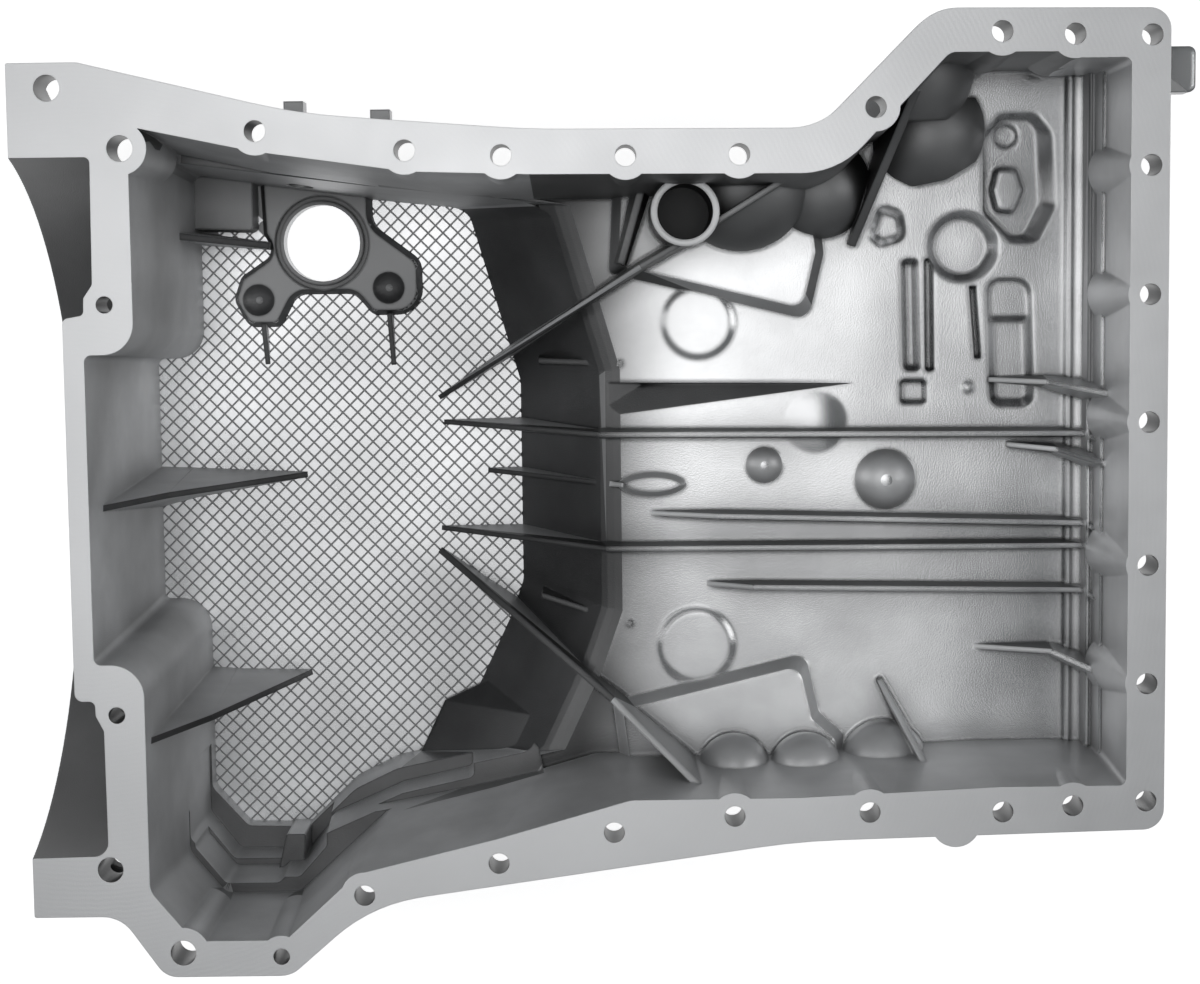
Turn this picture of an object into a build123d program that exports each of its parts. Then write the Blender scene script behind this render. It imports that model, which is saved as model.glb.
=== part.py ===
from build123d import *
import math
import os

# Engine oil pan, one aluminium casting. Sizes are in millimetres.
# The gasket face is the plane z = 0, the sump hangs below it, +X points to the front of the engine.
# The origin lies on the gasket face, where the crankshaft's vertical plane crosses the rear rail.

# Overall sizes of the gasket face
REAR_X = -24.2
FRONT_X = 453.8
BAY_TOP_Y = 203.2
TOP_Y = 155.2
BOTTOM_Y = -139.8
POCKET_BOTTOM_Y = -198.6
EAR_TOP_Y = 185.4
EAR_BOTTOM_Y = -172.2
FLANGE_T = 14.0
EAR_T = 22.0

# Widths of the rails between the outline and the cavity
FRONT_RAIL = 16.0
TOP_RAIL = 18.2
BAY_RAIL = 18.3
BOTTOM_RAIL = 18.8
POCKET_RAIL = 15.4
REAR_RAIL = 8.5
REAR_RAIL_X = -4.2

# The rear wall steps forward round the small bolts, at two jogs
REAR_JOG = 20.7
UPPER_JOG_Y = 65.4
LOWER_JOG_Y = -64.5
UPPER_JOG_R = 13.0
LOWER_JOG_R = 14.0

# Depths, walls and draft of the casting
TRAY_DEPTH = 70.0
SUMP_DEPTH = 125.0
WALL_T = 4.5
WALL_DRAFT = 1.0
SIDE_DRAFT = 6.0
REAR_DRAFT = 3.3
POCKET_DRAFT = 3.7
UPPER_JOG_DRAFT = 2.4
LOWER_JOG_DRAFT = 5.3
SLOPE_ANGLE = 36.5
SLOPE_R = 15.0

# Bell housing saddle: half a ring about the crankshaft, with its own bolts along X
CRANK_Z = 46.5
SADDLE_R = 154.0
RING_WALL = 16.0
BELL_BOLT_D = 10.5
BELL_BOSS_R = 11.0
BELL_BOLT_INSET = 2.0
BELL_PLATE_X = 9.0

# Bolt holes through the gasket flange
M6_D = 7.0
M8_D = 8.8
M10_D = 10.8
BOSS_WALL = 5.6
BOSS_DEPTH = 22.0
COLUMN_DEPTH = 58.0
COLUMN_DRAFT = 2.0
BOLT_INSET = 7.6

# Level sensor seat in the sump floor
SENSOR_X, SENSOR_Y = 90.0, 113.0
SENSOR_BORE_D = 35.4
SENSOR_PAD_H = 8.0
SENSOR_COLLAR_W = 1.6
SENSOR_GROOVE_W = 2.6
SENSOR_GROOVE_DEPTH = 3.0
SENSOR_DIMPLE_R = 7.4
SENSOR_DIMPLE_DEPTH = 3.5
SENSOR_LUGS = ((60.0, 87.0), (120.5, 92.0))
SENSOR_SCREW_D = 5.0
SENSOR_SCREW_DEPTH = 8.5

# Ribs
RIB_T = 2.2
RIB_H = 8.0
RIB_DRAFT = 4.0
LOW_RIB_DRAFT = 8.0

# Pick-up tube socket
TUBE_X, TUBE_Y = 255.0, 122.4
TUBE_OUTER_R = 14.6
TUBE_INNER_R = 11.8
TUBE_TOP_Z = -25.0
TUBE_DEPTH = 38.0

# Raised platforms of the tray floor
PLATFORM_H = 6.0
PLATFORM_DRAFT = 35.0

# Step along the front wall
STEP_FOOT = 13.5

# Drain plug thread through the side of the sump
DRAIN_X = 82.0
DRAIN_Z = -104.0
DRAIN_D = 12.4
DRAIN_BOSS_R = 12.5
DRAIN_FACE_Y = 160.0

# Cast tab at the front corner, below the flange
TAB_REACH = 14.2
TAB_LOW_Y = 169.0
TAB_HIGH_Y = 188.0
TAB_TOP_Z = -16.0
TAB_LOW_Z = -28.0

# Places that follow from the sizes above
CAVITY_FRONT_X = FRONT_X - FRONT_RAIL
CAVITY_TOP_Y = TOP_Y - TOP_RAIL
CAVITY_BAY_Y = BAY_TOP_Y - BAY_RAIL
CAVITY_BOTTOM_Y = BOTTOM_Y + BOTTOM_RAIL
CAVITY_POCKET_Y = POCKET_BOTTOM_Y + POCKET_RAIL
CAVITY_REAR_X = REAR_RAIL_X + REAR_RAIL
POCKET_REAR_X = CAVITY_REAR_X + REAR_JOG
FRONT_BOLT_X = FRONT_X - BOLT_INSET
RING_R = SADDLE_R + RING_WALL
BELL_PITCH_R = RING_R - BELL_BOLT_INSET
TRAY_Z = -TRAY_DEPTH
SUMP_Z = -SUMP_DEPTH


def tangent(degrees):
    return math.tan(math.radians(degrees))


def lean_in(draft):
    """How far a wall with this draft has come in at the sump floor."""
    return SUMP_DEPTH * tangent(draft)


# Foot of the rear wall and its two jogs on the sump floor
REAR_FLOOR_X = CAVITY_REAR_X + lean_in(REAR_DRAFT)
POCKET_FLOOR_X = POCKET_REAR_X + lean_in(POCKET_DRAFT)
UPPER_JOG_FLOOR_Y = UPPER_JOG_Y - lean_in(UPPER_JOG_DRAFT)
LOWER_JOG_FLOOR_Y = LOWER_JOG_Y + lean_in(LOWER_JOG_DRAFT)

# Corners (x, y, corner radius) of the gasket face, clockwise from the rear top ear
FLANGE_OUTLINE = (
    (REAR_X, EAR_TOP_Y, 1.0),
    (5.0, EAR_TOP_Y, 10.0),
    (95.0, 163.6, 250.0),
    (190.0, TOP_Y + 0.9, 400.0),
    (309.5, TOP_Y, 28.0),
    (357.0, BAY_TOP_Y, 22.0),
    (FRONT_X, BAY_TOP_Y - 1.0, 9.0),
    (FRONT_X, BOTTOM_Y, 9.0),
    (300.0, BOTTOM_Y - 3.5, 300.0),
    (142.0, -165.0, 90.0),
    (118.0, -169.0, 70.0),
    (84.0, POCKET_BOTTOM_Y, 12.0),
    (30.8, POCKET_BOTTOM_Y, 10.0),
    (12.3, EAR_BOTTOM_Y, 15.0),
    (REAR_X, EAR_BOTTOM_Y, 1.0),
    (REAR_X, -146.6, 1.0),
    (8.0, -146.0, 6.0),
    (7.7, -92.5, 3.0),
    (4.4, -86.0, 3.0),
    (4.2, -79.8, 2.5),
    (REAR_RAIL_X, -79.8, 3.5),
    (REAR_RAIL_X, 80.5, 2.5),
    (4.6, 82.0, 2.0),
    (4.8, 89.0, 2.0),
    (8.6, 94.5, 3.0),
    (9.2, 146.8, 2.5),
    (REAR_X, 147.0, 1.0),
)

# Corners (x, y, corner radius, draft of the wall from here to the next corner) of the cavity at the face
CAVITY_OUTLINE = (
    (POCKET_REAR_X, 159.2, 4.0, 4.5),
    (76.0, 148.4, 0.0, 4.5),
    (140.0, 139.3, 12.0, SIDE_DRAFT),
    (190.0, CAVITY_TOP_Y + 0.6, 0.0, SIDE_DRAFT),
    (317.0, CAVITY_TOP_Y - 0.4, 35.0, 3.0),
    (363.3, CAVITY_BAY_Y + 0.3, 6.0, WALL_DRAFT),
    (410.0, CAVITY_BAY_Y, 5.0, WALL_DRAFT),
    (417.0, CAVITY_BAY_Y - 2.6, 5.0, WALL_DRAFT),
    (CAVITY_FRONT_X, CAVITY_BAY_Y - 2.6, 3.0, WALL_DRAFT),
    (CAVITY_FRONT_X, CAVITY_BOTTOM_Y, 3.0, 5.0),
    (385.0, CAVITY_BOTTOM_Y, 0.0, 5.0),
    (300.0, CAVITY_BOTTOM_Y - 3.6, 0.0, 5.0),
    (229.0, CAVITY_BOTTOM_Y - 3.8, 12.0, 8.0),
    (172.0, -140.8, 0.0, 8.0),
    (112.5, -155.2, 8.0, 3.0),
    (82.0, CAVITY_POCKET_Y, 6.0, 2.0),
    (43.0, CAVITY_POCKET_Y, 6.0, 3.0),
    (POCKET_REAR_X, -161.4, 8.0, POCKET_DRAFT),
    (POCKET_REAR_X, LOWER_JOG_Y, LOWER_JOG_R, LOWER_JOG_DRAFT),
    (CAVITY_REAR_X, LOWER_JOG_Y, 3.0, REAR_DRAFT),
    (CAVITY_REAR_X, UPPER_JOG_Y, 3.0, UPPER_JOG_DRAFT),
    (POCKET_REAR_X, UPPER_JOG_Y, UPPER_JOG_R, POCKET_DRAFT),
)

# Corners (x, y, corner radius, draft) of the sump floor, where the side to the tray is the slope
SUMP_OUTLINE = (
    (POCKET_FLOOR_X, 143.5, 4.0, 4.5),
    (116.0, 132.6, 0.0, 4.5),
    (157.0, 128.2, 9.0, SLOPE_ANGLE),
    (180.5, 48.0, 14.0, SLOPE_ANGLE),
    (180.5, -46.0, 14.0, SLOPE_ANGLE),
    (174.5, -63.0, 0.0, SLOPE_ANGLE),
    (145.5, -124.0, 6.0, 4.0),
    (121.0, -129.0, 16.0, 4.0),
    (101.0, -138.5, 16.0, 4.0),
    (77.5, -161.0, 5.0, 4.0),
    (49.5, -160.3, 5.0, 4.0),
    (POCKET_FLOOR_X, -142.0, 6.0, POCKET_DRAFT),
    (POCKET_FLOOR_X, LOWER_JOG_FLOOR_Y, LOWER_JOG_R, LOWER_JOG_DRAFT),
    (REAR_FLOOR_X, LOWER_JOG_FLOOR_Y, 3.0, REAR_DRAFT),
    (REAR_FLOOR_X, UPPER_JOG_FLOOR_Y, 3.0, UPPER_JOG_DRAFT),
    (POCKET_FLOOR_X, UPPER_JOG_FLOOR_Y, UPPER_JOG_R, POCKET_DRAFT),
)

# Ledges in the bottom corner of the sump: (rise above the floor, corners of the ledge)
LEDGES = (
    (
        9.0,
        (
            (31.5, -120.0, 4.0, 2.0),
            (90.0, -120.0, 4.0, 2.0),
            (90.0, -158.0, 4.0, 3.0),
            (78.0, -171.5, 4.0, 3.0),
            (45.5, -171.5, 4.0, 3.0),
            (31.5, -153.5, 4.0, 2.0),
        ),
    ),
    (
        26.0,
        (
            (33.0, -112.0, 3.0, 2.0),
            (157.0, -112.0, 3.0, 4.0),
            (157.0, -129.6, 3.0, 5.0),
            (125.0, -136.6, 0.0, 5.0),
            (93.0, -150.6, 4.0, 3.0),
            (68.5, -175.5, 4.0, 2.0),
            (46.0, -175.5, 4.0, 2.0),
            (33.0, -159.5, 3.0, 2.0),
        ),
    ),
    (
        45.0,
        (
            (103.0, -116.0, 3.0, 4.0),
            (188.0, -116.0, 3.0, 4.0),
            (190.0, -128.4, 3.0, 5.0),
            (153.0, -136.2, 0.0, 5.0),
            (113.0, -143.6, 3.0, 4.0),
        ),
    ),
)

# Raised bar on the middle ledge, and the bend of the trough beside the long rib (x, y, height above the tray)
LEDGE_BAR = ((70.0, -160.0, 1.0), (79.0, -160.0, 1.0), (77.0, -190.0, 1.0), (63.0, -190.0, 1.0))
LEDGE_BAR_H = 5.0
TROUGH_TOP = ((205.0, 49.0, 1.0), (205.0, 29.0, 1.0), (352.0, 47.0, 1.0))
TROUGH_LOW = (238.0, 48.0, -4.5)

# Feet of the two raised platforms of the tray
UPPER_PLATFORM = (
    (226.0, 160.0, 3.0, PLATFORM_DRAFT),
    (311.0, 160.0, 3.0, PLATFORM_DRAFT),
    (318.0, 105.0, 4.0, PLATFORM_DRAFT),
    (311.0, 75.5, 8.0, PLATFORM_DRAFT),
    (222.5, 97.3, 4.0, PLATFORM_DRAFT),
)
LOWER_PLATFORM = (
    (222.0, -94.8, 5.0, PLATFORM_DRAFT),
    (309.0, -74.0, 8.0, PLATFORM_DRAFT),
    (315.0, -101.0, 6.0, PLATFORM_DRAFT),
    (326.0, -111.0, 5.0, PLATFORM_DRAFT),
    (326.0, -150.0, 3.0, PLATFORM_DRAFT),
    (229.0, -150.0, 3.0, PLATFORM_DRAFT),
)

# Foot of the sensor's seat (x, y, corner radius), with one lug to each side of the bore
SENSOR_SEAT = (
    (60.0, 152.0, 1.0),
    (114.0, 150.0, 1.0),
    (114.0, 122.0, 10.0),
    (136.5, 105.0, 10.0),
    (137.0, 78.5, 13.0),
    (112.0, 78.5, 7.0),
    (104.0, 88.5, 7.0),
    (78.0, 88.5, 7.0),
    (70.0, 73.5, 6.0),
    (54.0, 73.5, 7.0),
    (46.5, 87.0, 8.0),
    (50.5, 98.5, 6.0),
    (66.0, 109.0, 5.0),
    (61.5, 117.0, 4.0),
)
CORNER_BLOCK = ((28.0, 152.0, 1.0), (60.0, 152.0, 1.0), (60.0, 118.0, 3.0), (28.0, 119.0, 1.0))

# Pockets sunk into the floor of the front bay, and the deeper floor that carries them
POCKET_DEPTH = 6.0
STEP_BLOCK_DRAFT = 50.0
BAY_RING = (379.5, 107.0, 12.0, 16.0)
BAY_FLOOR_T = 3.0
BAY_FLOOR = (
    (334.0, 178.0, 8.0, 8.0),
    (428.0, 178.0, 8.0, 8.0),
    (428.0, 28.0, 8.0, 8.0),
    (334.0, 28.0, 8.0, 8.0),
)
KIDNEY = (
    (388.5, 157.0, 6.0, 25.0),
    (396.0, 165.5, 6.0, 25.0),
    (411.5, 165.5, 6.0, 30.0),
    (419.5, 156.0, 6.0, 48.0),
    (421.0, 124.0, 10.0, 48.0),
    (413.0, 108.0, 6.0, 30.0),
    (401.0, 108.0, 6.0, 20.0),
    (388.5, 121.0, 6.0, 12.0),
)
KIDNEY_PIT = (399.5, 155.5, 5.5, 3.0)
KIDNEY_ISLAND = (
    (394.0, 142.5, 4.0),
    (404.5, 142.0, 4.0),
    (408.0, 131.5, 4.0),
    (403.5, 120.5, 4.0),
    (394.0, 121.5, 4.0),
    (391.5, 131.5, 4.0),
)
# Other pockets of the bay: (depth, draft angle, corners)
POCKETS = (
    (4.5, 33.0, ((351.5, 102.5, 3.5), (360.5, 102.5, 3.2), (361.5, 51.5, 3.2), (352.5, 51.5, 3.5))),
    (4.0, 22.0, ((362.0, 102.5, 2.2), (367.0, 102.5, 2.2), (367.5, 51.5, 2.2), (362.5, 51.5, 2.2))),
    (4.0, 22.0, ((382.0, 90.0, 1.0), (386.0, 90.0, 1.0), (388.5, 57.0, 1.0), (384.5, 57.0, 1.0))),
    (4.0, 25.0, ((351.0, 49.0, 3.0), (364.0, 49.0, 3.0), (364.0, 37.0, 3.0), (351.0, 37.0, 3.0))),
    (
        4.0,
        45.0,
        (
            (336.5, 112.5, 5.5),
            (342.0, 127.5, 5.5),
            (354.0, 123.5, 6.5),
            (356.0, 109.5, 6.5),
            (342.5, 106.0, 5.5),
        ),
    ),
)

# Pocket with two floors, and the block in it that makes its higher floor
STEPPED_POCKET_DEPTH = 4.8
STEPPED_POCKET = ((389.5, 93.5, 6.5), (410.5, 93.5, 8.0), (412.5, 35.0, 6.5), (391.0, 35.0, 6.5))
STEP_BLOCK = ((375.0, 109.0, 1.0), (425.0, 109.0, 1.0), (425.0, 72.0, 1.0), (375.0, 72.0, 1.0))

# Section of the step along the front wall (distance from its foot, height above the tray), with three beads
STEP_SECTION = (
    (0.0, -2.0),
    (0.0, 0.0),
    (0.9, 2.8),
    (2.6, 3.6),
    (4.3, 2.4),
    (7.8, 2.8),
    (8.4, 11.0),
    (9.4, 12.4),
    (10.2, 11.4),
    (10.9, 11.6),
    (11.3, 25.0),
    (12.2, 26.4),
    (13.4, 25.6),
    (16.5, 25.6),
    (16.5, -2.0),
)

# Round swellings of the floor (x, y, radius at the foot, height)
BUMPS = (
    (291.0, 11.0, 8.2, 4.0),
    (345.0, 4.0, 13.6, 6.5),
    (314.0, 30.0, 14.0, 1.6),
    (382.0, 44.6, 3.0, 1.0),
)

# Top of the hump that stands on the slope beside the lower wall
HUMP_TOP_Z = -84.0
SLOPE_HUMP = (
    (174.0, -140.0, 0.0, 50.0),
    (191.0, -104.5, 0.0, 30.0),
    (194.3, -103.0, 0.0, 8.0),
    (193.0, -140.0, 0.0, 0.0),
)

# Outlines that cut off the two large swellings beside the web of the front bay
UPPER_SWELLING = (
    (325.0, 225.0, 1.0),
    (386.0, 225.0, 1.0),
    (385.5, 165.0, 3.0),
    (372.0, 162.0, 4.0),
    (356.0, 161.0, 4.0),
    (325.0, 161.0, 1.0),
)
LOWER_SWELLING = (
    (340.0, 172.0, 1.0),
    (390.5, 172.0, 4.0),
    (390.0, 147.0, 6.0),
    (372.0, 136.5, 6.0),
    (357.0, 133.5, 5.0),
    (340.0, 142.0, 1.0),
)

# Low flat discs where the casting is pushed out of its die (x, y, radius)
DISCS = ((262.0, 75.0, 17.0), (260.0, -70.0, 18.0))

# Bolts (x, y, hole diameter) round the gasket face
BOLTS = (
    (-7.6, 175.1, M10_D),
    (21.7, 150.2, M10_D),
    (77.4, 156.6, M8_D),
    (138.7, 148.0, M8_D),
    (178.4, 145.6, M8_D),
    (229.7, 144.8, M8_D),
    (276.6, 144.8, M8_D),
    (332.8, 163.3, M8_D),
    (384.7, 193.4, M8_D),
    (414.6, 192.0, M8_D),
    (FRONT_BOLT_X, 191.3, M8_D),
    (FRONT_BOLT_X, 138.3, M8_D),
    (FRONT_BOLT_X, 85.3, M8_D),
    (FRONT_BOLT_X, 32.3, M8_D),
    (FRONT_BOLT_X, -27.6, M8_D),
    (FRONT_BOLT_X, -77.7, M8_D),
    (FRONT_BOLT_X, -127.8, M8_D),
    (415.4, -129.4, M8_D),
    (385.9, -131.7, M8_D),
    (329.8, -131.2, M8_D),
    (272.8, -132.2, M8_D),
    (221.8, -138.5, M8_D),
    (172.9, -151.2, M8_D),
    (115.8, -164.3, M8_D),
    (80.0, -190.3, M6_D),
    (38.4, -188.2, M10_D),
    (8.6, -151.9, M10_D),
    (13.3, -85.8, M6_D),
    (13.4, 86.2, M6_D),
)


def moved_corners(corners, shifts):
    """Corners of a clockwise outline after each side has moved outward by its own shift."""
    count = len(corners)
    lines = []
    for i in range(count):
        x0, y0 = corners[i]
        x1, y1 = corners[(i + 1) % count]
        length = math.hypot(x1 - x0, y1 - y0)
        ux, uy = (x1 - x0) / length, (y1 - y0) / length
        lines.append((x0 - uy * shifts[i], y0 + ux * shifts[i], ux, uy))
    moved = []
    for i in range(count):
        ax, ay, aux, auy = lines[i - 1]
        bx, by, bux, buy = lines[i]
        cross = aux * buy - auy * bux
        along = ((bx - ax) * buy - (by - ay) * bux) / cross
        moved.append((ax + aux * along, ay + auy * along))
    return moved


def clockwise(outline):
    """The outline in clockwise order, with each draft kept on its own side."""
    area = sum(
        a[0] * b[1] - b[0] * a[1] for a, b in zip(outline, outline[1:] + outline[:1])
    )
    if area < 0:
        return outline
    drafts = [corner[3] for corner in outline]
    turned = [corner[:3] for corner in reversed(outline)]
    turned_drafts = list(reversed(drafts[:-1])) + [drafts[-1]]
    return tuple(corner + (draft,) for corner, draft in zip(turned, turned_drafts))


def drafted_block(outline, face_z, low_z, high_z, grow=0.0, opens_up=True):
    """Solid whose flat sides lean by their own draft, with its upright corners rounded.

    The outline holds at face_z, and grow moves every side outward by a wall thickness.
    """
    outline = clockwise(tuple(outline))
    corners = [(x, y) for x, y, _, _ in outline]
    lean = 1.0 if opens_up else -1.0

    def ring(z):
        shifts = [grow + lean * (z - face_z) * tangent(draft) for _, _, _, draft in outline]
        return [Vector(x, y, z) for x, y in moved_corners(corners, shifts)]

    low, high = ring(low_z), ring(high_z)
    count = len(low)
    faces = [Face(Wire.make_polygon(low)), Face(Wire.make_polygon(high))]
    for i in range(count):
        j = (i + 1) % count
        faces.append(Face(Wire.make_polygon([low[i], low[j], high[j], high[i]])))
    block = Solid(Shell(faces)).fix()
    for i in range(count):
        radius = wall_radius(outline, i, grow)
        if radius > 0:
            middle = (low[i] + high[i]) * 0.5
            upright = min(block.edges(), key=lambda edge: (edge.position_at(0.5) - middle).length)
            block = block.fillet(radius, [upright])
    return Part() + block


def wall_radius(outline, i, grow):
    """Radius of a corner on the far side of a wall: larger outside a bend, smaller inside it."""
    radius = outline[i][2]
    if radius == 0 or grow == 0:
        return radius
    (ax, ay), (bx, by), (cx, cy) = (outline[j % len(outline)][:2] for j in (i - 1, i, i + 1))
    turns_out = (bx - ax) * (cy - by) - (by - ay) * (cx - bx) < 0
    return radius + grow if turns_out else max(radius - grow, 1.0)


def rib(ridge, foot_z, thickness=RIB_T, draft=RIB_DRAFT):
    """Drafted rib below the line of ridge points, down to foot_z, made of flat-sided lengths."""
    lengths = []
    for (x0, y0, z0), (x1, y1, z1) in zip(ridge, ridge[1:]):
        length = math.hypot(x1 - x0, y1 - y0)
        nx, ny = -(y1 - y0) / length, (x1 - x0) / length
        ends = []
        for x, y, z in ((x0, y0, z0), (x1, y1, z1)):
            top = thickness / 2
            foot = top + max(z - foot_z, 0.0) * tangent(draft)
            ends.append(
                [
                    Vector(x - nx * top, y - ny * top, z),
                    Vector(x + nx * top, y + ny * top, z),
                    Vector(x + nx * foot, y + ny * foot, foot_z),
                    Vector(x - nx * foot, y - ny * foot, foot_z),
                ]
            )
        near, far = ends
        faces = [Face(Wire.make_polygon(near)), Face(Wire.make_polygon(far))]
        for i in range(4):
            j = (i + 1) % 4
            faces.append(Face(Wire.make_polygon([near[i], near[j], far[j], far[i]])))
        lengths.append(Part() + Solid(Shell(faces)).fix())
    return lengths


def upright_cylinder(x, y, radius, low_z, high_z):
    return Pos(x, y, (low_z + high_z) / 2) * Cylinder(radius, high_z - low_z)


def plate(outline, low_z, high_z):
    """Flat plate with the rounded outline, between two heights."""
    points = [(x, y) for x, y, _ in outline]
    radii = [radius for _, _, radius in outline]
    line = FilletPolyline(*points, radius=radii, close=True)
    return Pos(0, 0, low_z) * extrude(make_face(line), high_z - low_z)


def tapered(outline, from_z, height, taper):
    """Block with the rounded outline at from_z that narrows by its taper, up or down from there."""
    points = [(x, y) for x, y, _ in outline]
    radii = [radius for _, _, radius in outline]
    face = make_face(FilletPolyline(*points, radius=radii, close=True))
    return Pos(0, 0, from_z) * narrowed(face, height, taper)


def narrowed(face, height, taper):
    """The face at z = 0, extruded up or down by the height and narrowing on the way."""
    block = extrude(face, amount=abs(height), taper=taper)
    if (block.center().Z > 0) != (height > 0):
        block = mirror(block, about=Plane.XY)
    return block


def bump(x, y, foot_r, height):
    """Part of a ball that stands on the tray floor with this radius and height."""
    ball_r = (foot_r**2 + height**2) / (2 * height)
    return Pos(x, y, TRAY_Z + height - ball_r) * Sphere(ball_r)


def envelope():
    """Everything inside the outer skin: the flange, the tray, the sump and the bell plate."""
    skirt = plate(FLANGE_OUTLINE, -FLANGE_T, 0.0)
    tray = drafted_block(CAVITY_OUTLINE, 0.0, TRAY_Z - WALL_T, -1.0, WALL_T)
    sump = drafted_block(SUMP_OUTLINE, SUMP_Z, SUMP_Z - WALL_T, TRAY_Z, WALL_T)
    ledges = [
        drafted_block(outline, SUMP_Z + rise, SUMP_Z + rise - WALL_T, TRAY_Z, WALL_T)
        for rise, outline in LEDGES
    ]
    bosses = [
        upright_cylinder(x, y, d / 2 + BOSS_WALL, -BOSS_DEPTH, -1.0) for x, y, d in BOLTS
    ]
    deep_flange = plate(FLANGE_OUTLINE, -BOSS_DEPTH, -1.0)
    seats = Part() + [deep_flange & boss for boss in bosses]
    return skirt + tray + sump + ledges + seats + bell_housing_ring(deep_flange) + outside_forms()


def outside_forms():
    """Tab at the front corner, swelling of the rim, lugs, and the deeper floor of the front bay."""
    near, far = FRONT_X - TAB_REACH, FRONT_X + TAB_REACH
    tab_outline = (
        (near, TAB_HIGH_Y, 0.5),
        (far, TAB_HIGH_Y, 3.0),
        (far, TAB_LOW_Y, 3.0),
        (near, TAB_LOW_Y, 0.5),
    )
    tab = plate(tab_outline, TAB_LOW_Z, TAB_TOP_Z)
    swelling = upright_cylinder(366.0, -136.0, 10.5, -FLANGE_T, 0.0)
    lugs = [Pos(x, y - 20.0, -60.0) * Box(8.5, 40.0, 12.0) for x, y in ((86.5, 173.0), (124.0, 169.0))]
    bay_floor = drafted_block(BAY_FLOOR, TRAY_Z, TRAY_Z - POCKET_DEPTH - BAY_FLOOR_T - 3.0, TRAY_Z)
    return [tab, swelling, bay_floor] + lugs + outside_ribs()


def outside_ribs():
    """Stiffening ribs below the tray, and gussets from the rear plate to the sump."""
    low = TRAY_Z - WALL_T - 7.0
    ribs = []
    for y in (-84.0, -44.0, 44.0, 84.0):
        ribs.append(Pos(320.0, y, (low + TRAY_Z) / 2) * Box(228.0, 4.0, TRAY_Z - low))
    for x in (262.0, 338.0):
        ribs.append(Pos(x, 0, (low + TRAY_Z) / 2) * Box(4.0, 200.0, TRAY_Z - low))
    for y in (-36.0, 36.0):
        points = [(REAR_X + 30.0, y, -104.0), (40.0, y, -SUMP_DEPTH + 2.0)]
        ribs += rib(points, -SUMP_DEPTH - WALL_T, 4.0, 0.0)
    return ribs


def half_disc(radius, x0, x1):
    """Disc about the crankshaft's axis between two stations, cut off at the underside of the face."""
    disc = Pos((x0 + x1) / 2, 0, CRANK_Z) * Rot(0, 90, 0) * Cylinder(radius, x1 - x0)
    below = Pos((x0 + x1) / 2, 0, -RING_R) * Box(x1 - x0 + 2, 4 * RING_R, 2 * RING_R)
    return disc & below


def bell_bolt_places():
    """(y, z) of the bolts that hold the transmission, on their pitch circle and under the ears."""
    ring = [
        (BELL_PITCH_R * math.sin(math.radians(a)), CRANK_Z - BELL_PITCH_R * math.cos(math.radians(a)))
        for a in (-38.0, 38.0)
    ]
    ears = [(EAR_TOP_Y - 20.0, -EAR_T + 1.0), (EAR_BOTTOM_Y + 12.0, -EAR_T + 1.0)]
    return ring + ears


def bell_housing_ring(deep_flange):
    """Rear joint face: a half ring with its plate behind, thicker ears and bolt bosses."""
    ring = half_disc(RING_R, REAR_X, BELL_PLATE_X)
    width = BELL_PLATE_X - REAR_X
    middle_x = (REAR_X + BELL_PLATE_X) / 2
    ear_top = Pos(middle_x, (147.0 + EAR_TOP_Y) / 2, -EAR_T / 2)
    ear_top = ear_top * Box(width, EAR_TOP_Y - 147.0 - 4.0, EAR_T)
    ear_bottom = Pos(middle_x, (-146.6 + EAR_BOTTOM_Y) / 2, -EAR_T / 2)
    ear_bottom = ear_bottom * Box(width, EAR_BOTTOM_Y * -1 - 146.6 - 4.0, EAR_T)
    bosses = [
        Pos(middle_x, y, z) * Rot(0, 90, 0) * Cylinder(BELL_BOSS_R, width)
        for y, z in bell_bolt_places()
    ]
    below = Pos(0, 0, -RING_R - 1.0) * Box(4 * RING_R, 4 * RING_R, 2 * RING_R)
    bosses = [boss & below for boss in bosses]
    return ring + ear_top + ear_bottom + bosses


def saddle_cut():
    """Space for the flywheel behind the rear rail: it follows the rail's outer edge."""
    reach = half_disc(SADDLE_R, REAR_X - 1.0, BELL_PLATE_X)
    return reach - plate(FLANGE_OUTLINE, -3 * SADDLE_R, 0.0)


def cavity():
    """The bare inside: the tray, the deep sump with its slope and rounded brow, and the ledges."""
    tray = drafted_block(CAVITY_OUTLINE, 0.0, TRAY_Z, 1.0)
    sump = drafted_block(SUMP_OUTLINE, SUMP_Z, SUMP_Z, TRAY_Z + 8.0)
    ledges = [
        drafted_block(outline, SUMP_Z + rise, SUMP_Z + rise, TRAY_Z + 6.0)
        for rise, outline in LEDGES
    ]
    return tray + sump + brow() + ledges + trough()


def trough():
    """Shallow trough beside the long rib: deepest at one corner, and fading out to the front."""
    tip = Vector(TROUGH_LOW[0], TROUGH_LOW[1], TRAY_Z + TROUGH_LOW[2])
    top = [Vector(x, y, TRAY_Z + rise) for x, y, rise in TROUGH_TOP]
    sides = [Face(Wire.make_polygon([top[i - 1], top[i], tip])) for i in range(3)]
    return Part() + Solid(Shell(sides + [Face(Wire.make_polygon(top))])).fix()


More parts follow.
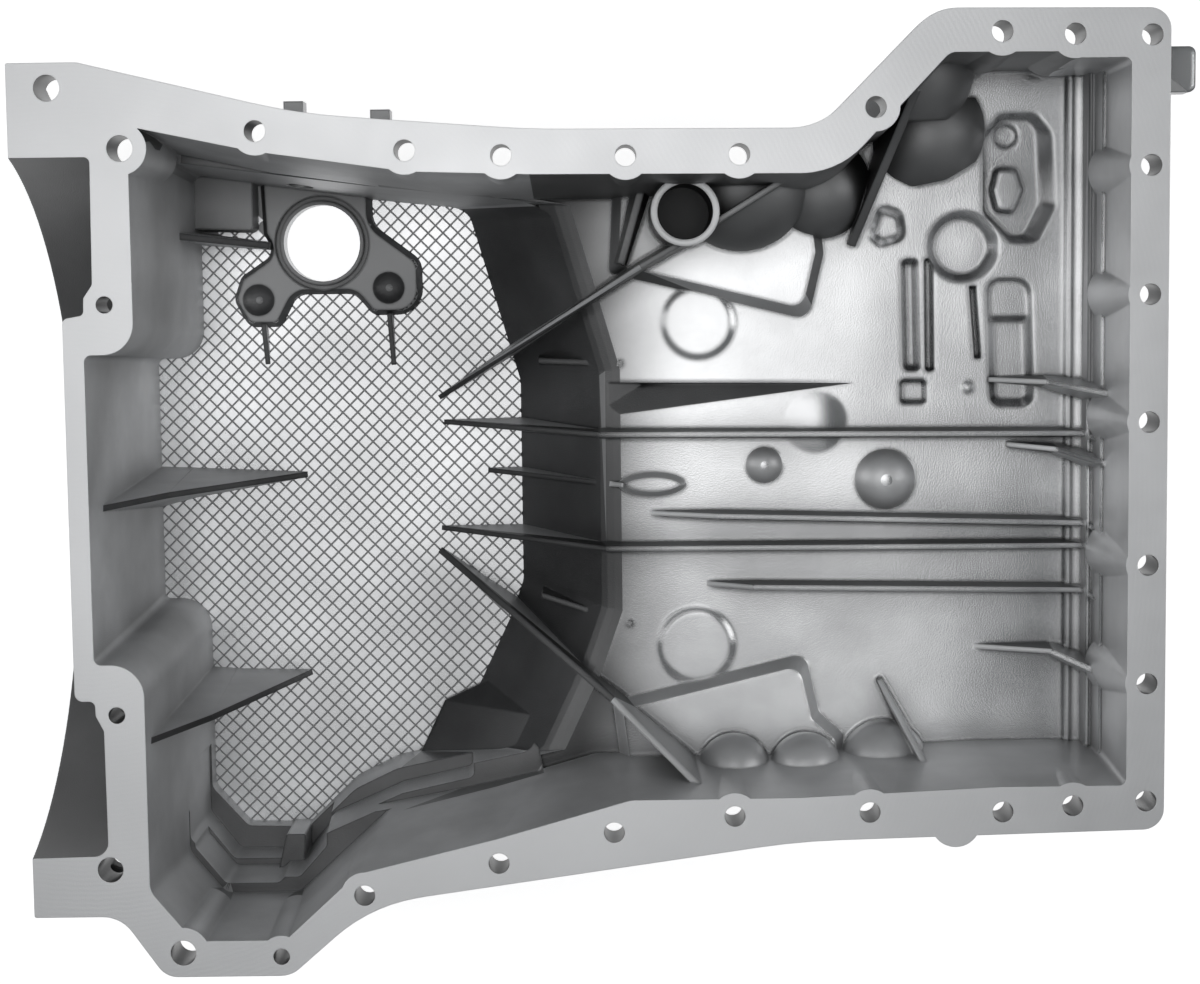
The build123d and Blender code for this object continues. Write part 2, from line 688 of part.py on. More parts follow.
def brow():
    """Blocks that round the edge between the slope and the tray, each tangent to the same arc."""
    turn = 90.0 - SLOPE_ANGLE
    outline = SUMP_OUTLINE[1:8]
    corners = [(x, y) for x, y, _, _ in outline]
    drafts = [draft for _, _, _, draft in outline[:-1]] + [0.0]
    blocks = []
    for share in (0.75, 0.5, 0.25):
        set_back = SLOPE_R * (tangent(turn / 2) - tangent(share * turn / 2))
        shifts = []
        leans = []
        for draft in drafts:
            shift = (TRAY_Z - SUMP_Z) * tangent(draft)
            shifts.append(shift + set_back if draft == SLOPE_ANGLE else shift)
            leans.append(90.0 - share * turn if draft == SLOPE_ANGLE else draft)
        facet = [(x, y, 0.0, lean) for (x, y), lean in zip(moved_corners(corners, shifts), leans)]
        blocks.append(drafted_block(facet, TRAY_Z, TRAY_Z - 8.0, TRAY_Z + 2.0))
    return blocks


def bolt_columns():
    """Round columns that carry the bolts and swell into the cavity."""
    columns = []
    for x, y, d in BOLTS:
        if x == FRONT_BOLT_X:
            continue
        radius = d / 2 + BOSS_WALL
        spread = COLUMN_DEPTH * tangent(COLUMN_DRAFT)
        columns.append(Pos(x, y, -COLUMN_DEPTH / 2) * Cone(radius + spread, radius, COLUMN_DEPTH))
    return columns


def tray_rib(points):
    """Low rib of the tray floor with leaning sides."""
    return rib(points, TRAY_Z - 2.0, draft=LOW_RIB_DRAFT)


def floor_ribs():
    """Long ribs that stiffen the sump and the tray and break the surge of the oil."""
    deep = SUMP_Z - 2.0
    crest = TRAY_Z + RIB_H
    front = CAVITY_FRONT_X + 2.0
    rise = TRAY_Z + 32.0
    turn = FRONT_X - 21.0
    tube_wall = [(142, 40, SUMP_Z), (236, 99.5, -36), (253, 109, -30), (298, 136, TUBE_TOP_Z)]
    ribs = rib(tube_wall, deep, draft=2.5)
    ribs += rib([(144, 29, SUMP_Z), (217, 26, crest)], deep)
    ribs += rib([(165, 6, SUMP_Z + 1), (228, 3, TRAY_Z + 4)], deep)
    ribs += rib([(142, -21, SUMP_Z), (220, -25, crest)], deep)
    ribs += rib([(141, -31, SUMP_Z), (222, -91, -52), (270, -134, -12)], deep, 3.0, 3.0)
    ribs += tray_rib([(217, 26, crest), (turn, 24, crest), (front, 20, rise)])
    ribs += tray_rib([(220, -25, crest), (turn, -26, crest), (front, -28, rise)])
    ribs += tray_rib([(240, -10, TRAY_Z), (270, -11, crest), (turn, -16, crest), (front, -20, rise)])
    ribs += tray_rib([(265, -42, TRAY_Z), (285, -43, crest), (turn, -46, crest), (front, -51, rise)])
    ribs += tray_rib([(391, 48, TRAY_Z + 1), (415, 47, crest + 3), (front, 42, rise + 4)])
    ribs += tray_rib([(399, 19, TRAY_Z + 1), (420, 17, crest), (front, 11, rise)])
    ribs += tray_rib([(385, -72, TRAY_Z), (418, -73, crest + 3), (front, -82, rise)])
    ribs += rib([(342, -86, TRAY_Z + 4), (366, -134, TRAY_Z + 40)], TRAY_Z - 2.0, 2.4)
    ribs += rib([(330, 108, TRAY_Z + 2), (352, 172, -16)], TRAY_Z - 2.0, 3.6, 3.0)
    ribs += rib([(190, 58, -96), (228, 57, TRAY_Z + 1.5)], -118, 2.4)
    ribs += rib([(190, -50, -96), (231, -60, TRAY_Z + 1.5)], -118, 2.4)
    return ribs


def rear_ribs():
    """Gussets from the rear wall on to the sump floor, and the short ribs below the sensor's lugs."""
    deep = SUMP_Z - 2.0
    ribs = rib([(CAVITY_REAR_X - 1.0, -0.6, -18), (27, 1.8, -58), (80, 5, SUMP_Z + 1)], deep, 2.6, 5.0)
    ribs += rib([(POCKET_REAR_X - 1.0, -98.7, -6), (45.3, -96, -48), (80, -89, SUMP_Z + 1)], deep, 2.6, 6.0)
    ribs += rib([(12, 118, -66), (66, 112, SUMP_Z + 10)], deep, 3.0, 2.0)
    ribs += rib([(61.5, 78, SUMP_Z + 6), (62.6, 57, SUMP_Z + 1)], deep, 2.2, 4.0)
    ribs += rib([(120.4, 80, SUMP_Z + 6), (121.6, 56, SUMP_Z + 1)], deep, 2.2, 4.0)
    return ribs


def platforms():
    upper = drafted_block(UPPER_PLATFORM, TRAY_Z, TRAY_Z - 2.0, TRAY_Z + PLATFORM_H, opens_up=False)
    lower = drafted_block(LOWER_PLATFORM, TRAY_Z, TRAY_Z - 2.0, TRAY_Z + PLATFORM_H, opens_up=False)
    return [upper, lower]


def tube_socket():
    post = upright_cylinder(TUBE_X, TUBE_Y, TUBE_OUTER_R, TRAY_Z - 2.0, TUBE_TOP_Z)
    ridge = rib([(238, 136, TUBE_TOP_Z - 27), (228, 101, TRAY_Z + 10)], TRAY_Z - 2.0, 3.0, 14.0)
    return [post] + ridge


def domes():
    """Round swellings of the floor and walls where the outside needs room."""
    balls = [
        Pos(281, 136, -62) * Sphere(30),
        Pos(316, 134, -72) * Sphere(23),
        Pos(344, -124, -68) * Sphere(19.5),
        Pos(276, -124, -58) * Sphere(16),
        Pos(308, -124, -58) * Sphere(16),
    ]
    upper = Pos(350, 186, -68) * Sphere(34) & plate(UPPER_SWELLING, TRAY_Z - 2.0, 0.0)
    lower = Pos(364, 158, -84) * Sphere(29) & plate(LOWER_SWELLING, TRAY_Z - 2.0, 0.0)
    hump = drafted_block(SLOPE_HUMP, HUMP_TOP_Z, SUMP_Z + 4.0, HUMP_TOP_Z, opens_up=False)
    return balls + [upper, lower, hump]


def floor_bumps():
    """Low round forms of the tray floor: bumps, flat discs and the lens-shaped end of a rib."""
    forms = [bump(*place) for place in BUMPS]
    forms += [Pos(x, y, TRAY_Z) * Cone(radius + 3.0, radius - 3.0, 2.4) for x, y, radius in DISCS]
    forms.append(Pos(241, 3, TRAY_Z - 1.0) * narrowed(make_face(Ellipse(16.0, 6.5)), 4.0, 40.0))
    return forms


def sensor_seat():
    """Raised seat round the level sensor's bore, with a lug for each screw, and the block beside it."""
    low = SUMP_Z - 2.0
    seat = tapered(SENSOR_SEAT, low, SENSOR_PAD_H + 2.0, 18.0)
    return [seat, tapered(CORNER_BLOCK, low, 15.0, 4.0)]


def ledge_bar():
    rise = LEDGES[1][0] + LEDGE_BAR_H
    return plate(LEDGE_BAR, SUMP_Z, SUMP_Z + rise)


def sensor_cuts():
    """The bore, the groove outside its collar, and a dished seat with a blind screw hole in each lug."""
    top = SUMP_Z + SENSOR_PAD_H
    underside = SUMP_Z - WALL_T
    bore = upright_cylinder(SENSOR_X, SENSOR_Y, SENSOR_BORE_D / 2, underside - 1.0, top + 1.0)
    collar_r = SENSOR_BORE_D / 2 + SENSOR_COLLAR_W
    groove_low = top - SENSOR_GROOVE_DEPTH
    groove = upright_cylinder(SENSOR_X, SENSOR_Y, collar_r + SENSOR_GROOVE_W, groove_low, top + 1.0)
    groove -= upright_cylinder(SENSOR_X, SENSOR_Y, collar_r, groove_low, top + 1.0)
    cuts = [bore, groove]
    dish_r = (SENSOR_DIMPLE_R**2 + SENSOR_DIMPLE_DEPTH**2) / (2 * SENSOR_DIMPLE_DEPTH)
    for x, y in SENSOR_LUGS:
        cuts.append(Pos(x, y, top + dish_r - SENSOR_DIMPLE_DEPTH) * Sphere(dish_r))
        screw_top = underside + SENSOR_SCREW_DEPTH
        cuts.append(upright_cylinder(x, y, SENSOR_SCREW_D / 2, underside - 1.0, screw_top))
    return cuts


def front_step():
    """Step along the front wall, with a bead on each of its edges."""
    foot = CAVITY_FRONT_X - STEP_FOOT
    section = Polyline(*[(foot + run, TRAY_Z + rise) for run, rise in STEP_SECTION], close=True)
    face = Plane.XZ * make_face(section)
    return Pos(0, CAVITY_BAY_Y + 15.0, 0) * extrude(face, CAVITY_BAY_Y - CAVITY_BOTTOM_Y + 30.0)


def wall_cheeks():
    """Cone-shaped swellings of the front wall below its bolts."""
    return [
        Pos(x, y, -27.0) * Cone(BOSS_WALL + 9.0, BOSS_WALL + 3.6, 54.0)
        for x, y, _ in BOLTS
        if x == FRONT_BOLT_X
    ]


def pocket(outline, depth, draft):
    """Pocket with leaning sides, sunk into the tray floor."""
    return tapered(outline, TRAY_Z + 0.5, -depth - 0.5, draft)


def recesses():
    """Pockets sunk into the tray floor in the front bay."""
    floor_z = TRAY_Z - POCKET_DEPTH
    kidney = drafted_block(KIDNEY, TRAY_Z, floor_z, TRAY_Z + 0.5)
    kidney -= tapered(KIDNEY_ISLAND, floor_z - 1.0, POCKET_DEPTH - 0.5, 22.0)
    cuts = [kidney] + [pocket(outline, depth, draft) for depth, draft, outline in POCKETS]
    stepped_floor = TRAY_Z - STEPPED_POCKET_DEPTH
    stepped = pocket(STEPPED_POCKET, STEPPED_POCKET_DEPTH, 38.0)
    cuts.append(stepped - tapered(STEP_BLOCK, stepped_floor - 1.0, 3.6, STEP_BLOCK_DRAFT))
    x, y, foot_r, depth = KIDNEY_PIT
    cuts.append(Pos(x, y, floor_z) * Cone(foot_r - 1.0, foot_r + 1.0, 2 * depth - 2.0))
    x, y, floor_r, mouth_r = BAY_RING
    cuts.append(Pos(x, y, TRAY_Z) * Cone(floor_r, 2 * mouth_r - floor_r, 2 * POCKET_DEPTH + 2.0))
    return cuts


def bolt_holes():
    return [upright_cylinder(x, y, d / 2, -60.0, 1.0) for x, y, d in BOLTS]


def bell_bolt_holes():
    length = BELL_PLATE_X - REAR_X + 2.0
    return [
        Pos(REAR_X - 1.0 + length / 2, y, z) * Rot(0, 90, 0) * Cylinder(BELL_BOLT_D / 2, length)
        for y, z in bell_bolt_places()
    ]


def drain():
    """Boss on the side wall of the sump, and the thread's hole through it into the sump."""
    inner_y = CAVITY_TOP_Y + 1.0
    boss = Pos(DRAIN_X, (DRAIN_FACE_Y + inner_y) / 2, DRAIN_Z) * Rot(90, 0, 0)
    boss = boss * Cylinder(DRAIN_BOSS_R, DRAIN_FACE_Y - inner_y)
    hole = Pos(DRAIN_X, inner_y, DRAIN_Z) * Rot(90, 0, 0)
    hole = hole * Cylinder(DRAIN_D / 2, 2 * (DRAIN_FACE_Y - inner_y + 2.0))
    return boss, hole


def oil_pan():
    raised = bolt_columns() + floor_ribs() + rear_ribs() + platforms() + tube_socket()
    raised += domes() + floor_bumps() + sensor_seat() + [ledge_bar(), front_step()] + wall_cheeks()
    inside = cavity() - raised
    drain_boss, drain_hole = drain()
    pan = envelope() + drain_boss - saddle_cut() - inside
    cuts = sensor_cuts() + recesses() + bolt_holes() + bell_bolt_holes() + [drain_hole]
    cuts.append(upright_cylinder(TUBE_X, TUBE_Y, TUBE_INNER_R, TUBE_TOP_Z - TUBE_DEPTH, TUBE_TOP_Z + 1.0))
    return pan - cuts


os.makedirs("parts", exist_ok=True)
pan = oil_pan()
print("oil_pan", round(pan.volume / 1000, 1), "cm3", pan.bounding_box())
export_step(pan, "parts/oil_pan.step")
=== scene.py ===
# %% [markdown]
# # Engine oil pan, looking down into it
#
# The pan is one aluminium casting that closes the bottom of an engine. Oil drains over the shallow
# front tray and down a slope into the deep rear sump. The solid comes in as a fixed frame. This scene
# adds what a solid doesn't carry: the finish that each kind of surface has, the crossed grooves of the
# sump floor, a pale floor, soft light and the camera of the photograph.

import math

import bpy
from mathutils import Matrix, Vector


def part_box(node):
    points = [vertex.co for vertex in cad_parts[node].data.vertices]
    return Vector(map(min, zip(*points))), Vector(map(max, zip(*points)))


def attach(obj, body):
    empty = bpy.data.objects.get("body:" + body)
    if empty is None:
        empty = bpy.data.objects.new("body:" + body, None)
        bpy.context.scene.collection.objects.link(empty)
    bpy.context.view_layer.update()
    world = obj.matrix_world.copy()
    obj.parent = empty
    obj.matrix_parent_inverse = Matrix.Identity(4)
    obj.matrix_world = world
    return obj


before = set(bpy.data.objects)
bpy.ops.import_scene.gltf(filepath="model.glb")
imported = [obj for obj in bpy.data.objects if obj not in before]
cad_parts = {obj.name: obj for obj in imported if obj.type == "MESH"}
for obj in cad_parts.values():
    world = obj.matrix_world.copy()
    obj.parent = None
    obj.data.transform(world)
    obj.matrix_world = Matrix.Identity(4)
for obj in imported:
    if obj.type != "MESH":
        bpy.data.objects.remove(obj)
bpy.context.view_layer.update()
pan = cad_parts["oil_pan"]
low, high = (Vector(corner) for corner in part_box("oil_pan"))
print("pan from", tuple(round(v, 4) for v in low), "to", tuple(round(v, 4) for v in high))

# %% [markdown]
# ## Heights of the casting
#
# The gasket face is the plane z = 0. The tray floor and the sump floor lie below it. Rays sent straight
# down on to the solid find both floors, so that the finishes follow the casting if its depth changes.

# %% Find the floors
MM = 0.001


def height_below(x, y):
    """Height of the surface that is seen from above at (x, y), or None beside the pan."""
    found, place, _, _ = pan.ray_cast(Vector((x, y, 0.05)), Vector((0, 0, -1)))
    return place.z if found else None


TRAY_SPOT = (0.330, -0.058)
SUMP_SPOT = (0.070, -0.030)
tray_z = height_below(*TRAY_SPOT)
sump_z = height_below(*SUMP_SPOT)
print("tray floor", round(tray_z, 4), "sump floor", round(sump_z, 4))

# %% [markdown]
# ## Shader maths
#
# A finish is easier to read as a formula than as a web of nodes. This class wraps one output socket.
# A sum or product of two wires adds a Math node, and `add` makes any other node.


# %% A wire between shader nodes
class Wire:
    """One output in a material's node tree. Arithmetic on it adds Math nodes."""

    def __init__(self, tree, socket=None):
        self.tree = tree
        self.socket = socket

    def add(self, kind, settings, sockets, output=0):
        """A node of this kind: its settings are made first, then its sockets get values or wires."""
        node = self.tree.nodes.new("ShaderNode" + kind)
        for name, value in settings.items():
            setattr(node, name, value)
        for name, value in sockets.items():
            if isinstance(value, Wire):
                self.tree.links.new(value.socket, node.inputs[name])
            else:
                node.inputs[name].default_value = value
        return Wire(self.tree, node.outputs[output])

    def maths(self, operation, first, second):
        return self.add("Math", {"operation": operation}, {0: first, 1: second})

    def __add__(self, other):
        return self.maths("ADD", self, other)

    def __mul__(self, other):
        return self.maths("MULTIPLY", self, other)

    __radd__ = __add__
    __rmul__ = __mul__


# %% [markdown]
# ## One recipe for bare aluminium
#
# Every surface of the pan is the same metal, and its skin differs: cut smooth by a milling cutter,
# cast against a polished die, or cast against a rough one. Some finishes are also paler or darker
# copies of one skin, as painted light and painted shade. So one function makes all the finishes.
#
# - `shade` and `gloss` are the grey and the roughness, and `cloud` is how far both wander over the skin.
# - `edge` is the radius of the rounded edges. A Bevel node makes them without changing the solid.
# - `grain` is the height of the casting's fine grain, `waves` that of its broad swell, and `marks` adds
#   the arcs that a milling cutter leaves.
# - `corner_shade` is painted shade: it darkens the grey in corners, creases and recesses.
# - `brow_shade` is painted shade too: it darkens the tray near the brow, where it bends down into the
#   slope.

# %% The recipe
GRAIN_SIZE = 0.6 * MM
CLOUD_SIZE = 25 * MM
PATCH_SIZE = 80 * MM
CORNER_REACH = 14 * MM
BROW_DARK_X = 205 * MM
BROW_BRIGHT_X = 262 * MM
MARKS_SCALE = 150.0
BLUE_TINT = 1.015
GREEN_TINT = 1.005


def noise(wire, place, size, detail):
    """Soft noise over the object, with patches of about this size in metres."""
    return wire.add("TexNoise", {}, {"Vector": place, "Scale": 1 / size, "Detail": detail})


def aluminium(
    name, shade, gloss, edge, grain, cloud=0.12, metal=1.0, marks=0.0, corner_shade=0.0, brow_shade=0.0, waves=0.0
):
    """Bare aluminium. The edge, the grain and the waves are in metres, and the rest runs from 0 to 1."""
    material = bpy.data.materials.new(name)
    material.use_nodes = True
    tree = material.node_tree
    shader = tree.nodes["Principled BSDF"]
    wire = Wire(tree)
    place = wire.add("TexCoord", {}, {}, "Object")
    specks = noise(wire, place, GRAIN_SIZE, 3.0)
    clouds = noise(wire, place, CLOUD_SIZE, 4.0)
    patches = noise(wire, place, PATCH_SIZE, 1.0)

    tone = shade * (1 - cloud / 2) + clouds * (shade * cloud)
    tone = tone * (patches * (2 * cloud) + (1 - cloud))
    # Painted shade: the grey darkens in corners and creases, where other surfaces close in around it.
    if corner_shade:
        openness = wire.add("AmbientOcclusion", {"samples": 1}, {"Distance": CORNER_REACH}, "AO")
        tone = tone * (openness * corner_shade + (1 - corner_shade))
    # Painted shade: the tray's grey darkens along x towards the brow, where it bends down into the slope.
    if brow_shade:
        along = wire.add("SeparateXYZ", {}, {"Vector": place}, "X")
        span = {"From Min": BROW_DARK_X, "From Max": BROW_BRIGHT_X, "To Min": brow_shade, "To Max": 1.0}
        tone = tone * wire.add("MapRange", {"interpolation_type": "SMOOTHSTEP"}, {"Value": along, **span})
    tints = {"Red": tone, "Green": tone * GREEN_TINT, "Blue": tone * BLUE_TINT}
    colour = wire.add("CombineColor", {}, tints)
    rough = gloss * 0.85 + clouds * (gloss * 0.3)

    relief = specks + patches * (waves / grain)
    if marks:
        look = {"wave_type": "RINGS", "rings_direction": "Z"}
        arcs = {"Vector": place, "Scale": MARKS_SCALE, "Distortion": 3.0, "Detail": 2.0}
        relief = relief + wire.add("TexWave", look, arcs, "Fac") * marks
    round_edge = wire.add("Bevel", {"samples": 4}, {"Radius": edge})
    bump = wire.add("Bump", {}, {"Height": relief, "Distance": grain, "Strength": 1.0, "Normal": round_edge})

    tree.links.new(colour.socket, shader.inputs["Base Color"])
    tree.links.new(rough.socket, shader.inputs["Roughness"])
    tree.links.new(bump.socket, shader.inputs["Normal"])
    shader.inputs["Metallic"].default_value = metal
    return material


# %% [markdown]
# ## The finishes
#
# The rim is milled flat and stays pale. The floor of the tray comes from a smooth die and is almost a
# mirror, a little wavy. The walls are duller, the slope between tray and sump is dark with painted
# shade, and the half-round joint at the rear is matt. The outside is plain rough casting. Bolt holes are
# drilled, and they and the pick-up tube's socket are dark inside with painted shade.

# %% Make the finishes
FINISHES = {
    "milled_rim": dict(shade=0.90, gloss=0.40, edge=0.4 * MM, grain=0.02 * MM, cloud=0.10, marks=0.3),
    "bright_casting": dict(
        shade=0.77, gloss=0.17, edge=3.0 * MM, grain=0.04 * MM, cloud=0.35, corner_shade=0.85, brow_shade=0.1,
        waves=1.6 * MM,
    ),
    # Partly a rougher satin skin, partly painted shade: its grey is darker than the bright casting's.
    "satin_shaded_casting": dict(
        shade=0.34, gloss=0.50, edge=1.6 * MM, grain=0.06 * MM, cloud=0.4, corner_shade=0.6, waves=0.5 * MM
    ),
    # Painted light: a paler copy of the cast skin, for faces that stand in more light.
    "painted_light_skin": dict(
        shade=0.76, gloss=0.42, edge=1.6 * MM, grain=0.06 * MM, cloud=0.4, metal=0.65, corner_shade=0.5
    ),
    "wall_skin": dict(
        shade=0.74, gloss=0.50, edge=1.6 * MM, grain=0.12 * MM, cloud=0.5, metal=0.6, corner_shade=0.5
    ),
    "saddle_skin": dict(shade=0.20, gloss=0.60, edge=1.6 * MM, grain=0.12 * MM, cloud=0.5, metal=0.6),
    # Painted shade: a dark copy of the cast skin for the slope, the ledge and the trough.
    "painted_shade_skin": dict(shade=0.17, gloss=0.45, edge=1.6 * MM, grain=0.12 * MM, cloud=0.6),
    "outer_casting": dict(shade=0.42, gloss=0.46, edge=1.2 * MM, grain=0.12 * MM),
    # Painted shade: the bolt holes and the socket's bore get near-black greys for the shade inside them.
    "cut_bore": dict(shade=0.12, gloss=0.35, edge=0.3 * MM, grain=0.01 * MM),
    "deep_bore": dict(shade=0.05, gloss=0.45, edge=0.3 * MM, grain=0.05 * MM),
    # Painted shade: the groove bottoms get a darker grey than the diamond tops.
    "groove": dict(shade=0.34, gloss=0.50, edge=0.5 * MM, grain=0.08 * MM),
}
first_slot = len(pan.data.materials)
for name, look in FINISHES.items():
    pan.data.materials.append(aluminium(name, **look))
slot_of = {name: first_slot + i for i, name in enumerate(FINISHES)}
print(len(FINISHES), "finishes:", ", ".join(FINISHES))

# %% [markdown]
# ## Which surface gets which finish
#
# A face of the casting tells what it is by where it is and where it looks. The flat faces at z = 0 are
# the rim, and the rearmost ones the joint's milled face. An upright face with its opposite a finger's
# width away is a bolt hole. What lies behind the rear rail, which steps forward near its two ends, is
# the joint. A face is outside where the rim shades it, or where it is upright and no part of the pan
# stands opposite. The rest is inside, and is sorted for the sump and for the tray.

# %% The limits of each region
LEVEL = 0.99
GENTLE = 0.8
WALL = 0.3
UPRIGHT = 0.1
SKIN = 0.1 * MM
LIFT = 0.3 * MM
RAIL_X = -3 * MM
EAR_RAIL_X = 11 * MM
EAR_Y = 76 * MM
HOLE_WIDTH = 11.5 * MM
HOLE_DEPTH = 30 * MM
SUMP_END_X = 190 * MM
LEDGE_Y = -100 * MM
TROUGH_END_X = 330 * MM
BEADS_X = 415 * MM
DOMES_Y = 90 * MM
FLOOR_REACH = 1.2 * MM
PAD_REACH = 9 * MM
SOCKET = Vector((0.255, 0.1224))
SOCKET_BORE = 12.5 * MM
SOCKET_RING = 20 * MM
SOCKET_TOP_Z = -20 * MM

# %% [markdown]
# `in_sump` and `in_tray` take a face's centre and the upward part of its normal. In the sump the walls
# are dull, the sensor's seat is satin and darker with painted shade, and the slope and the ledge get the
# darkest copy of the skin as painted shade. In the tray the floor, its recesses and its raised pads are
# bright, and the trough gets the same painted shade. The walls at the front and the low side, the ring
# round the socket and the raised faces below DOMES_Y, low bumps and rib tops among them, are pale with
# painted light. The other walls, the rib flanks and the domes beyond DOMES_Y are satin and darker with
# painted shade.


# %% Sort the faces
def distance(start, direction):
    """How far away the pan's next surface is, or None where nothing is met."""
    found, place, _, _ = pan.ray_cast(start + direction * LIFT, direction)
    return (place - start).length if found else None


def behind_rail(centre):
    return centre.x < RAIL_X or (centre.x < EAR_RAIL_X and abs(centre.y) > EAR_Y)


def in_bolt_hole(centre, normal):
    if abs(normal.z) > UPRIGHT or centre.z < -HOLE_DEPTH:
        return False
    across = distance(centre, normal)
    return across is not None and across < HOLE_WIDTH


def on_the_outside(centre, normal):
    if distance(centre + normal * LIFT, Vector((0, 0, 1))) is not None:
        return True
    if abs(normal.z) > WALL or centre.z > -SKIN:
        return False
    return distance(centre, Vector((normal.x, normal.y, 0.0)).normalized()) is None


# Painted shade: the slope and the ledge get the dark copy, and the seat the darker satin one.
def in_sump(centre, up):
    if up < WALL:
        return "wall_skin"
    return "satin_shaded_casting" if up > LEVEL and centre.y > LEDGE_Y else "painted_shade_skin"


# Painted light and shade: the pale and dark copies follow where a face lies and where it looks.
def in_tray(centre, up):
    height = centre.z - tray_z
    if up < WALL and (centre.x > BEADS_X or centre.y < LEDGE_Y):
        return "painted_light_skin"
    if height < 0 and centre.x < TROUGH_END_X and up < LEVEL:
        return "painted_shade_skin"
    flat_floor = (height < FLOOR_REACH and up > GENTLE) or (height < PAD_REACH and up > LEVEL)
    if height < 0 or centre.x > BEADS_X or flat_floor:
        return "bright_casting"
    on_ring = up > LEVEL and (centre.xy - SOCKET).length < SOCKET_RING
    return "painted_light_skin" if on_ring or (up > WALL and centre.y < DOMES_Y) else "satin_shaded_casting"


def finish_of(face):
    centre, normal = face.center, face.normal
    on_rim = centre.z > -SKIN and normal.z > LEVEL
    on_joint_face = centre.x < low.x + SKIN and normal.x < -LEVEL
    if on_rim or on_joint_face:
        return "milled_rim"
    if (centre.xy - SOCKET).length < SOCKET_BORE and centre.z < SOCKET_TOP_Z:
        return "deep_bore"
    if in_bolt_hole(centre, normal):
        return "cut_bore"
    if behind_rail(centre):
        return "saddle_skin"
    if on_the_outside(centre, normal):
        return "outer_casting"
    if abs(centre.z - sump_z) < LIFT and normal.z > LEVEL:
        return "groove"
    region = in_sump if centre.x < SUMP_END_X else in_tray
    return region(centre, normal.z)


counts = dict.fromkeys(FINISHES, 0)
for face in pan.data.polygons:
    name = finish_of(face)
    face.material_index = slot_of[name]
    counts[name] += 1
print("faces:", counts)

# %% [markdown]
# ## Crossed grooves on the sump floor
#
# The sump floor is cast with a grid of crossed grooves that leaves small raised diamonds. They are
# real relief, so they are built as geometry: each diamond is a low block with leaning sides. A diamond
# that meets a wall or a rib simply runs into it, as the casting does, so no outline is needed. Rays
# from above tell where the floor is.

# %% Build the diamonds
PITCH = 6.94 * MM
GROOVE = 0.65 * MM
RISE = 0.55 * MM
SINK = 0.3 * MM
PATTERN_END_X = 200 * MM


def is_floor(x, y):
    z = height_below(x, y)
    return z is not None and abs(z - sump_z) < LIFT


def diamond(cx, cy, reach, z):
    return [(cx + reach, cy, z), (cx, cy + reach, z), (cx - reach, cy, z), (cx, cy - reach, z)]


def diamond_floor():
    foot = PITCH / 2 - GROOVE * 0.35
    top = foot - GROOVE * 0.45
    points, faces = [], []
    rows = int((high.y - low.y) / PITCH * 2)
    columns = int(PATTERN_END_X / PITCH)
    for row in range(rows):
        for column in range(columns):
            cx = (column + 0.5 * (row % 2)) * PITCH
            cy = low.y + row * PITCH / 2
            tries = [(cx, cy)] + [(x, y) for x, y, _ in diamond(cx, cy, top, 0.0)]
            if not any(is_floor(x, y) for x, y in tries):
                continue
            start = len(points)
            points += diamond(cx, cy, foot, sump_z - SINK) + diamond(cx, cy, top, sump_z + RISE)
            faces.append([start + i for i in (4, 5, 6, 7)])
            faces.append([start + i for i in (3, 2, 1, 0)])
            for i in range(4):
                j = (i + 1) % 4
                faces.append([start + i, start + j, start + 4 + j, start + 4 + i])
    mesh = bpy.data.meshes.new("sump_floor_diamonds")
    mesh.from_pydata(points, [], faces)
    return mesh


diamonds = bpy.data.objects.new("sump_floor_diamonds", diamond_floor())
bpy.context.collection.objects.link(diamonds)
tops = dict(shade=0.82, gloss=0.28, edge=0.25 * MM, grain=0.03 * MM, cloud=0.5)
diamonds.data.materials.append(aluminium("diamond_tops", **tops))
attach(diamonds, "root")
print("diamonds:", len(diamonds.data.polygons) // 6)

# %% [markdown]
# ## Floor, light and surroundings
#
# The pan lies on a plain pale floor. Metal shows what is around it, so the light matters more than the
# colour: a wide soft light above with a brighter one in front of its middle makes every level
# surface bright, most of all near the top, and the dim surroundings leave the inner walls dark.
# The floor is bright enough to stay white and to light the outside from below.

# %% Set the stage
bpy.ops.mesh.primitive_plane_add(size=16.0, location=(0.2, 0.0, low.z - 1 * MM))
ground = bpy.context.object
ground.name = "floor"
paper = bpy.data.materials.new("pale_floor")
paper.use_nodes = True
paper_shader = paper.node_tree.nodes["Principled BSDF"]
paper_shader.inputs["Base Color"].default_value = (0.93, 0.93, 0.93, 1.0)
paper_shader.inputs["Roughness"].default_value = 0.9
paper_shader.inputs["Emission Color"].default_value = (1.0, 1.0, 1.0, 1.0)
paper_shader.inputs["Emission Strength"].default_value = 0.73
ground.data.materials.append(paper)

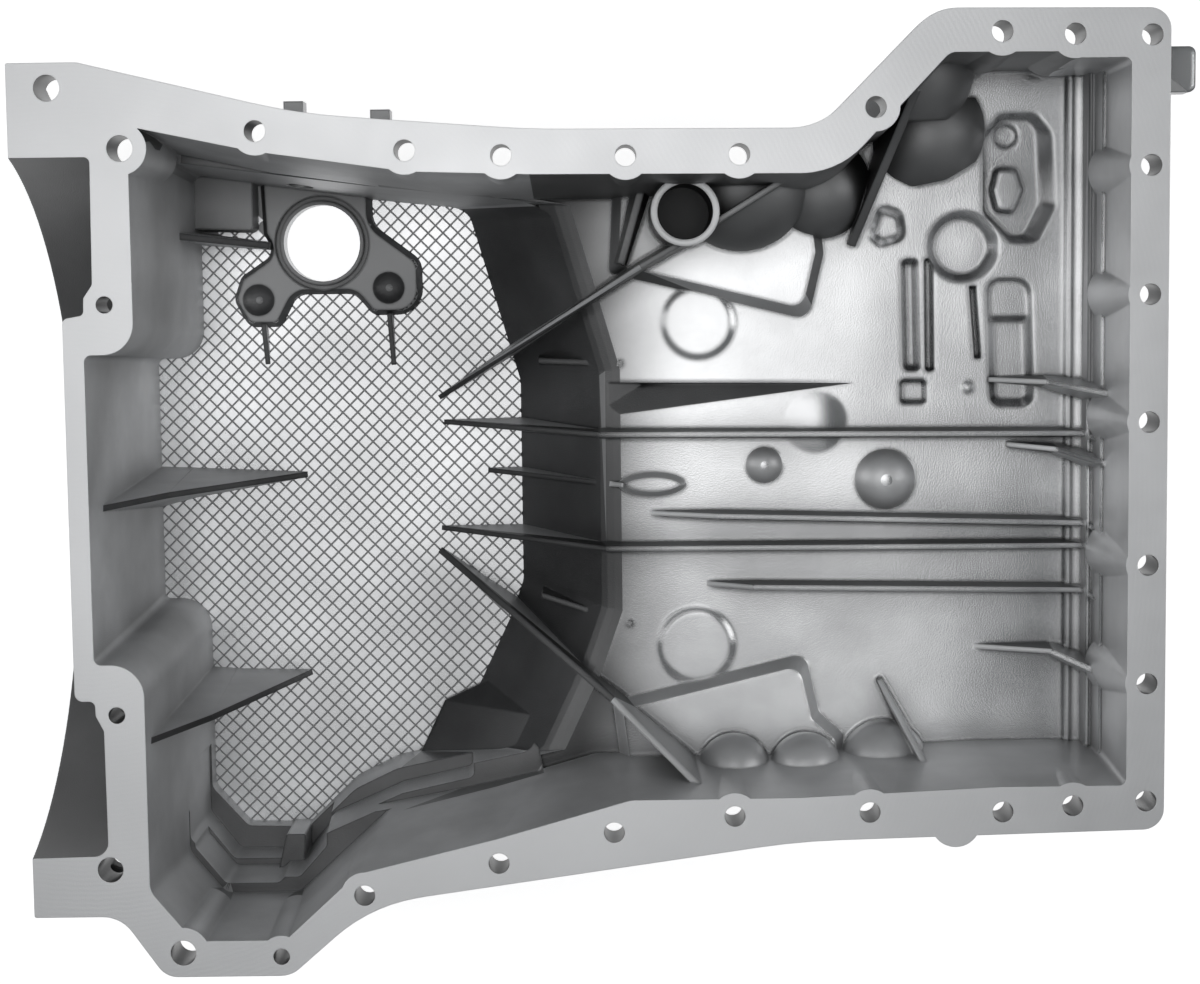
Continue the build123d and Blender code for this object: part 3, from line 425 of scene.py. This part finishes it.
world = bpy.data.worlds.new("surroundings")
bpy.context.scene.world = world
world.use_nodes = True
world.node_tree.nodes["Background"].inputs["Color"].default_value = (0.95, 0.98, 1.0, 1.0)
world.node_tree.nodes["Background"].inputs["Strength"].default_value = 0.17


def soft_light(name, place, aim, width, depth, brightness):
    """Rectangular soft light. Its power follows from its area, so that brightness is what metal mirrors."""
    data = bpy.data.lights.new(name, "AREA")
    data.shape = "RECTANGLE"
    data.size = width
    data.size_y = depth
    data.energy = brightness * math.pi * width * depth
    light = bpy.data.objects.new(name, data)
    light.location = place
    light.rotation_euler = (Vector(aim) - Vector(place)).to_track_quat("-Z", "Y").to_euler()
    bpy.context.collection.objects.link(light)
    return light


middle = (low + high) / 2
soft_light("broad", (0.02, -0.05, 1.52), (0.02, -0.05, 0.0), 1.3, 1.3, 0.45)
soft_light("bright_middle", (0.12, 0.22, 1.5), (0.12, 0.22, 0.0), 0.9, 0.75, 0.78)
soft_light("side_left", (-1.1, 0.2, 0.8), middle, 0.6, 1.0, 1.3)
soft_light("side_right", (1.5, 0.2, 0.8), middle, 0.6, 1.0, 1.5)

# %% [markdown]
# ## Camera
#
# The photograph looks almost straight down from about 0.95 metres, tipped a few degrees so that the
# upper edge is nearer. The lens length follows from how the depths shrink in the picture.

# %% Place the camera
IMAGE_WIDTH = 1200
LENS_PIXELS = 2280
TILT = math.radians(5.1)
ROLL = math.radians(0.71)
AIM = Vector((0.2175, 0.006, 0.0))
DISTANCE = 0.95

camera_data = bpy.data.cameras.new("camera")
camera_data.sensor_width = 36.0
camera_data.lens = camera_data.sensor_width * LENS_PIXELS / IMAGE_WIDTH
camera_data.clip_start = 0.01
camera = bpy.data.objects.new("camera", camera_data)
away = Vector((0.0, math.sin(TILT), math.cos(TILT)))
turn = Matrix.Rotation(-TILT, 4, "X") @ Matrix.Rotation(-ROLL, 4, "Z")
camera.matrix_world = Matrix.Translation(AIM + away * DISTANCE) @ turn
bpy.context.collection.objects.link(camera)
bpy.context.scene.camera = camera
bpy.context.scene.view_settings.view_transform = "Standard"
print("lens", round(camera_data.lens, 1), "mm, camera at", tuple(round(v, 3) for v in camera.location))
